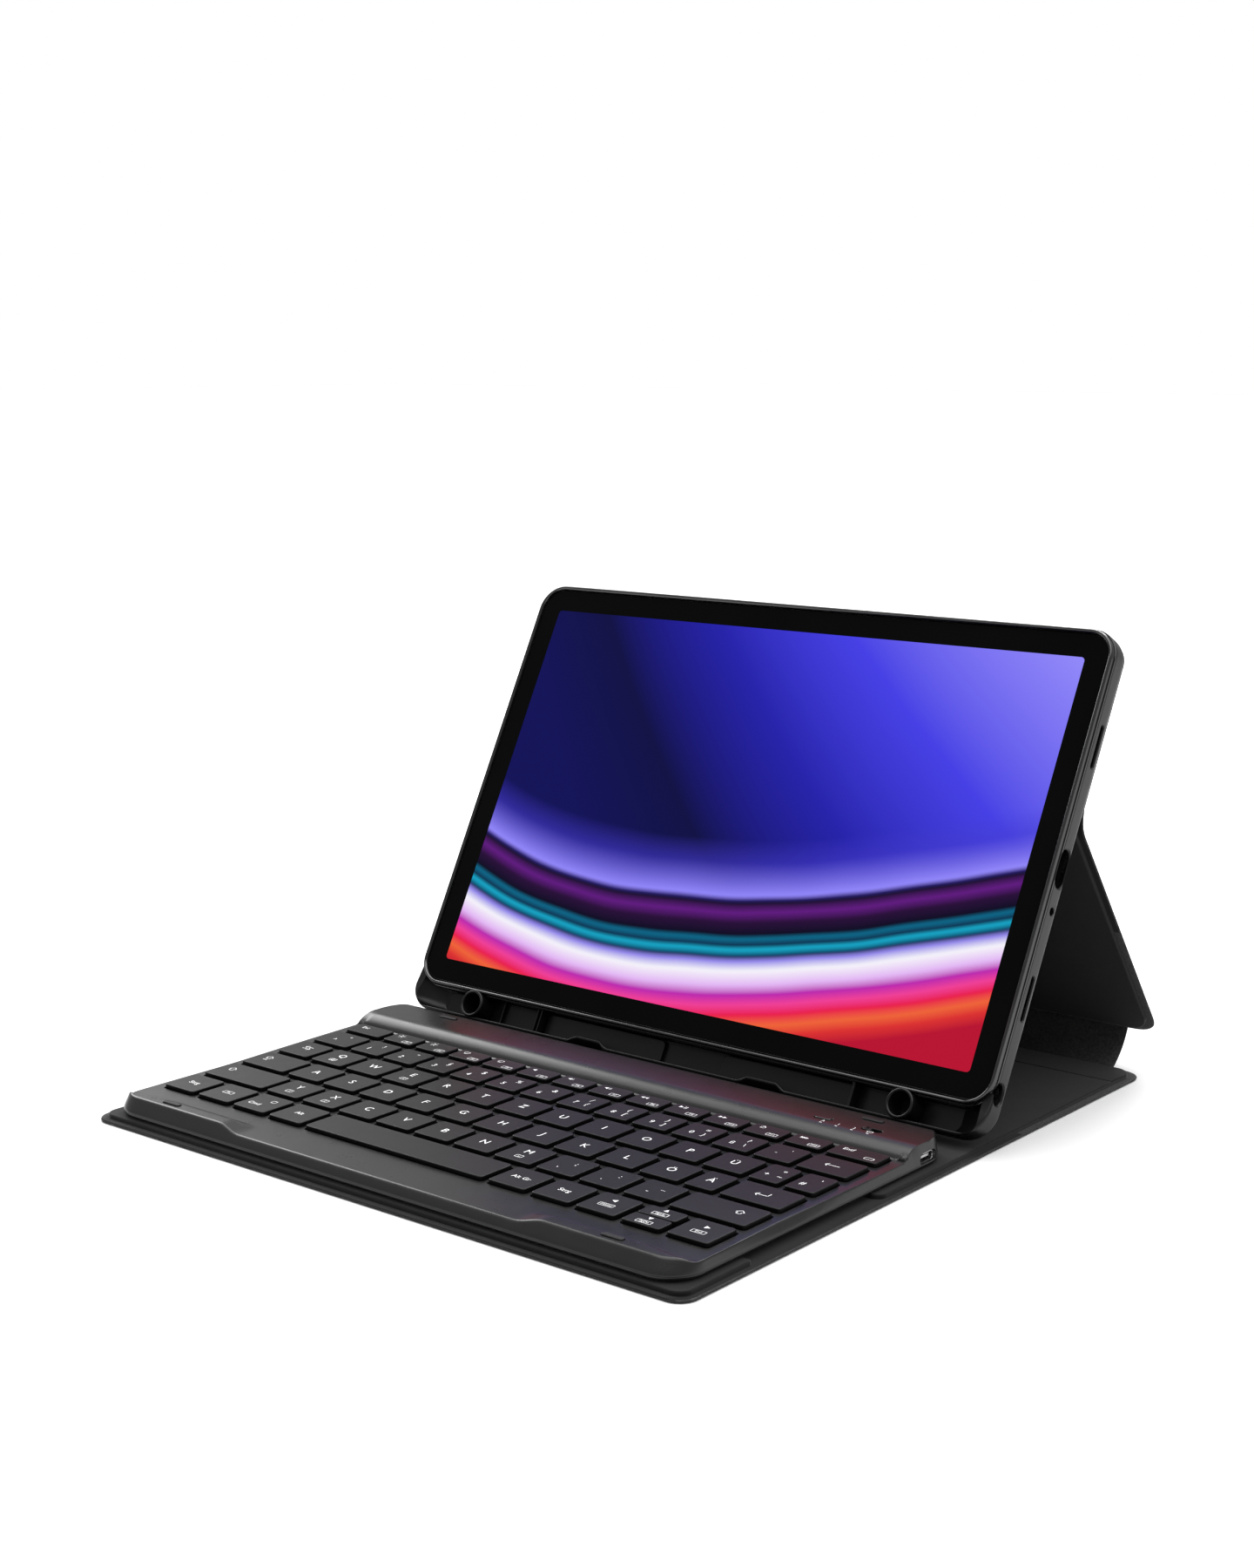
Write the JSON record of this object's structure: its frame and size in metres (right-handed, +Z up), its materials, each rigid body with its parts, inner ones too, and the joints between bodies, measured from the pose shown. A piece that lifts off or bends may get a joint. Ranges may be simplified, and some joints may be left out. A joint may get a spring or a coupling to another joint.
{
  "type": "tablet keyboard case",
  "caption": "Folio case with a tablet tray, folding kick panel stand, wrap-around flap and detachable keyboard, opened for typing.",
  "frame": {"origin": "middle of the opened case on the surface it stands on", "axes": "+X to the right along the long side, +Y from the flap to the back of the stand, +Z up"},
  "size_m": [0.2588, 0.2834, 0.1662],
  "materials": {
    "leather": "fine pebble grain, satin",
    "lining": "smooth microfibre, matt",
    "board": "pressed fibreboard",
    "magnet": "plated strip",
    "tray_rubber": "satin moulded TPU",
    "tablet_metal": "bead-blasted",
    "tablet_glass": "black glass border",
    "tablet_display": "lit display",
    "keyboard_case": "satin moulded plastic",
    "keycap": "fine matt plastic with white legends",
    "pad_rubber": "matt",
    "circuit": "printed sheet",
    "battery_wrap": "foil wrap",
    "port_metal": "plated shell",
    "light_guide": "clear"
  },
  "bodies": {
    "base_panel": {"base_outer_skin": "leather", "base_board": "board", "base_magnet_strip": "magnet", "base_lining": "lining"},
    "flap_spine": {"flap_spine": "leather"},
    "flap_panel": {"flap_outer_skin": "leather", "flap_board": "board", "flap_magnet_strip": "magnet", "flap_lining": "lining"},
    "rear_spine": {"rear_spine": "leather"},
    "kick_panel": {"kick_outer_skin": "leather", "kick_board": "board", "kick_lining": "lining"},
    "tray": {"back_cover_skin": "leather", "back_cover_board": "board", "shell_tray": "tray_rubber"},
    "tablet": {"tablet_body": "tablet_metal", "tablet_bezel": "tablet_glass", "tablet_display": "tablet_display"},
    "keyboard": {"keyboard_bottom_case": "keyboard_case", "keyboard_top_frame": "keyboard_case", "spacer_pad_front_left": "pad_rubber", "spacer_pad_front_right": "pad_rubber", "spacer_pad_rear_left": "pad_rubber", "spacer_pad_rear_right": "pad_rubber", "key_membrane": "circuit", "keyboard_battery": "battery_wrap", "controller_board": "circuit", "keyboard_magnet_strip": "magnet", "usb_c_port": "port_metal", "status_light_bar": "light_guide"},
    "power_switch": {"power_switch": "pad_rubber"},
    "connect_button": {"connect_button": "pad_rubber"},
    "key_escape": {"key_escape": "keycap"},
    "key_delete": {"key_delete": "keycap"},
    "key_backspace": {"key_backspace": "keycap"},
    "key_tab": {"key_tab": "keycap"},
    "key_caps_lock": {"key_caps_lock": "keycap"},
    "key_enter": {"key_enter": "keycap"},
    "key_shift_left": {"key_shift_left": "keycap"},
    "key_shift_right": {"key_shift_right": "keycap"},
    "key_control_left": {"key_control_left": "keycap"},
    "key_function": {"key_function": "keycap"},
    "key_command": {"key_command": "keycap"},
    "key_alt": {"key_alt": "keycap"},
    "key_space": {"key_space": "keycap"},
    "key_alt_right": {"key_alt_right": "keycap"},
    "key_control_right": {"key_control_right": "keycap"},
    "key_arrow_left": {"key_arrow_left": "keycap"},
    "key_arrow_up": {"key_arrow_up": "keycap"},
    "key_arrow_down": {"key_arrow_down": "keycap"},
    "key_arrow_right": {"key_arrow_right": "keycap"},
    "keys_function_row": {"keys_function_row": "keycap"},
    "keys_number_row": {"keys_number_row": "keycap"},
    "keys_upper_row": {"keys_upper_row": "keycap"},
    "keys_home_row": {"keys_home_row": "keycap"},
    "keys_lower_row": {"keys_lower_row": "keycap"}
  },
  "joints": [
    {"name": "stand_fold", "type": "hinge", "parent": "kick_panel", "child": "tray", "pos_m": [0, 0.0767, 0.10184], "axis": [1, 0, 0], "range_deg": [0, 47.7]},
    {"name": "kick_panel_hinge", "type": "hinge", "parent": "rear_spine", "child": "kick_panel", "pos_m": [0, 0.14078, 0.01353], "axis": [1, 0, 0], "range_deg": [-9.2, 0]},
    {"name": "rear_spine_hinge", "type": "hinge", "parent": "base_panel", "child": "rear_spine", "pos_m": [0, 0.1307, 0.0012], "axis": [1, 0, 0], "range_deg": [-14.7, 0]},
    {"name": "flap_spine_hinge", "type": "hinge", "parent": "base_panel", "child": "flap_spine", "pos_m": [0, -0.0427, 0], "axis": [1, 0, 0], "range_deg": [0, 90]},
    {"name": "flap_panel_hinge", "type": "hinge", "parent": "flap_spine", "child": "flap_panel", "pos_m": [0, -0.1037, 0], "axis": [1, 0, 0], "range_deg": [0, 90]},
    {"name": "tablet_lift_out", "type": "slide", "parent": "tray", "child": "tablet", "axis": [0, -0.8833, 0.4689], "range_m": [0, 0.04]},
    {"name": "keyboard_lift_off", "type": "slide", "parent": "base_panel", "child": "keyboard", "axis": [0, -0.8833, 0.4689], "range_m": [0, 0.06]},
    {"name": "power_switch_slide", "type": "slide", "parent": "keyboard", "child": "power_switch", "axis": [1, 0, 0], "range_m": [0, 0.0032]},
    {"name": "connect_button_press", "type": "slide", "parent": "keyboard", "child": "connect_button", "axis": [0, 0, -1], "range_m": [0, 0.0006], "stiffness_N_per_m": 400, "springref_m": -0.0005},
    {"name": "key_escape_press", "type": "slide", "parent": "keyboard", "child": "key_escape", "axis": [0, 0, -1], "range_m": [0, 0.0015], "stiffness_N_per_m": 300, "springref_m": -0.0008},
    {"name": "key_delete_press", "type": "slide", "parent": "keyboard", "child": "key_delete", "axis": [0, 0, -1], "range_m": [0, 0.0015], "stiffness_N_per_m": 300, "springref_m": -0.0008},
    {"name": "key_backspace_press", "type": "slide", "parent": "keyboard", "child": "key_backspace", "axis": [0, 0, -1], "range_m": [0, 0.0015], "stiffness_N_per_m": 300, "springref_m": -0.0008},
    {"name": "key_tab_press", "type": "slide", "parent": "keyboard", "child": "key_tab", "axis": [0, 0, -1], "range_m": [0, 0.0015], "stiffness_N_per_m": 300, "springref_m": -0.0008},
    {"name": "key_caps_lock_press", "type": "slide", "parent": "keyboard", "child": "key_caps_lock", "axis": [0, 0, -1], "range_m": [0, 0.0015], "stiffness_N_per_m": 300, "springref_m": -0.0008},
    {"name": "key_enter_press", "type": "slide", "parent": "keyboard", "child": "key_enter", "axis": [0, 0, -1], "range_m": [0, 0.0015], "stiffness_N_per_m": 300, "springref_m": -0.0008},
    {"name": "key_shift_left_press", "type": "slide", "parent": "keyboard", "child": "key_shift_left", "axis": [0, 0, -1], "range_m": [0, 0.0015], "stiffness_N_per_m": 300, "springref_m": -0.0008},
    {"name": "key_shift_right_press", "type": "slide", "parent": "keyboard", "child": "key_shift_right", "axis": [0, 0, -1], "range_m": [0, 0.0015], "stiffness_N_per_m": 300, "springref_m": -0.0008},
    {"name": "key_control_left_press", "type": "slide", "parent": "keyboard", "child": "key_control_left", "axis": [0, 0, -1], "range_m": [0, 0.0015], "stiffness_N_per_m": 300, "springref_m": -0.0008},
    {"name": "key_function_press", "type": "slide", "parent": "keyboard", "child": "key_function", "axis": [0, 0, -1], "range_m": [0, 0.0015], "stiffness_N_per_m": 300, "springref_m": -0.0008},
    {"name": "key_command_press", "type": "slide", "parent": "keyboard", "child": "key_command", "axis": [0, 0, -1], "range_m": [0, 0.0015], "stiffness_N_per_m": 300, "springref_m": -0.0008},
    {"name": "key_alt_press", "type": "slide", "parent": "keyboard", "child": "key_alt", "axis": [0, 0, -1], "range_m": [0, 0.0015], "stiffness_N_per_m": 300, "springref_m": -0.0008},
    {"name": "key_space_press", "type": "slide", "parent": "keyboard", "child": "key_space", "axis": [0, 0, -1], "range_m": [0, 0.0015], "stiffness_N_per_m": 300, "springref_m": -0.0008},
    {"name": "key_alt_right_press", "type": "slide", "parent": "keyboard", "child": "key_alt_right", "axis": [0, 0, -1], "range_m": [0, 0.0015], "stiffness_N_per_m": 300, "springref_m": -0.0008},
    {"name": "key_control_right_press", "type": "slide", "parent": "keyboard", "child": "key_control_right", "axis": [0, 0, -1], "range_m": [0, 0.0015], "stiffness_N_per_m": 300, "springref_m": -0.0008},
    {"name": "key_arrow_left_press", "type": "slide", "parent": "keyboard", "child": "key_arrow_left", "axis": [0, 0, -1], "range_m": [0, 0.0015], "stiffness_N_per_m": 300, "springref_m": -0.0008},
    {"name": "key_arrow_up_press", "type": "slide", "parent": "keyboard", "child": "key_arrow_up", "axis": [0, 0, -1], "range_m": [0, 0.0015], "stiffness_N_per_m": 300, "springref_m": -0.0008},
    {"name": "key_arrow_down_press", "type": "slide", "parent": "keyboard", "child": "key_arrow_down", "axis": [0, 0, -1], "range_m": [0, 0.0015], "stiffness_N_per_m": 300, "springref_m": -0.0008},
    {"name": "key_arrow_right_press", "type": "slide", "parent": "keyboard", "child": "key_arrow_right", "axis": [0, 0, -1], "range_m": [0, 0.0015], "stiffness_N_per_m": 300, "springref_m": -0.0008},
    {"name": "keys_function_row_press", "type": "slide", "parent": "keyboard", "child": "keys_function_row", "axis": [0, 0, -1], "range_m": [0, 0.0015], "stiffness_N_per_m": 2400, "springref_m": -0.0008},
    {"name": "keys_number_row_press", "type": "slide", "parent": "keyboard", "child": "keys_number_row", "axis": [0, 0, -1], "range_m": [0, 0.0015], "stiffness_N_per_m": 2400, "springref_m": -0.0008},
    {"name": "keys_upper_row_press", "type": "slide", "parent": "keyboard", "child": "keys_upper_row", "axis": [0, 0, -1], "range_m": [0, 0.0015], "stiffness_N_per_m": 2400, "springref_m": -0.0008},
    {"name": "keys_home_row_press", "type": "slide", "parent": "keyboard", "child": "keys_home_row", "axis": [0, 0, -1], "range_m": [0, 0.0015], "stiffness_N_per_m": 2400, "springref_m": -0.0008},
    {"name": "keys_lower_row_press", "type": "slide", "parent": "keyboard", "child": "keys_lower_row", "axis": [0, 0, -1], "range_m": [0, 0.0015], "stiffness_N_per_m": 2400, "springref_m": -0.0008}
  ],
  "couplings": [
    {"joint": "kick_panel_hinge", "follows": "stand_fold", "ratio": -0.19078},
    {"joint": "rear_spine_hinge", "follows": "stand_fold", "ratio": -0.30608},
    {"joint": "flap_panel_hinge", "follows": "flap_spine_hinge", "ratio": 1}
  ]
}
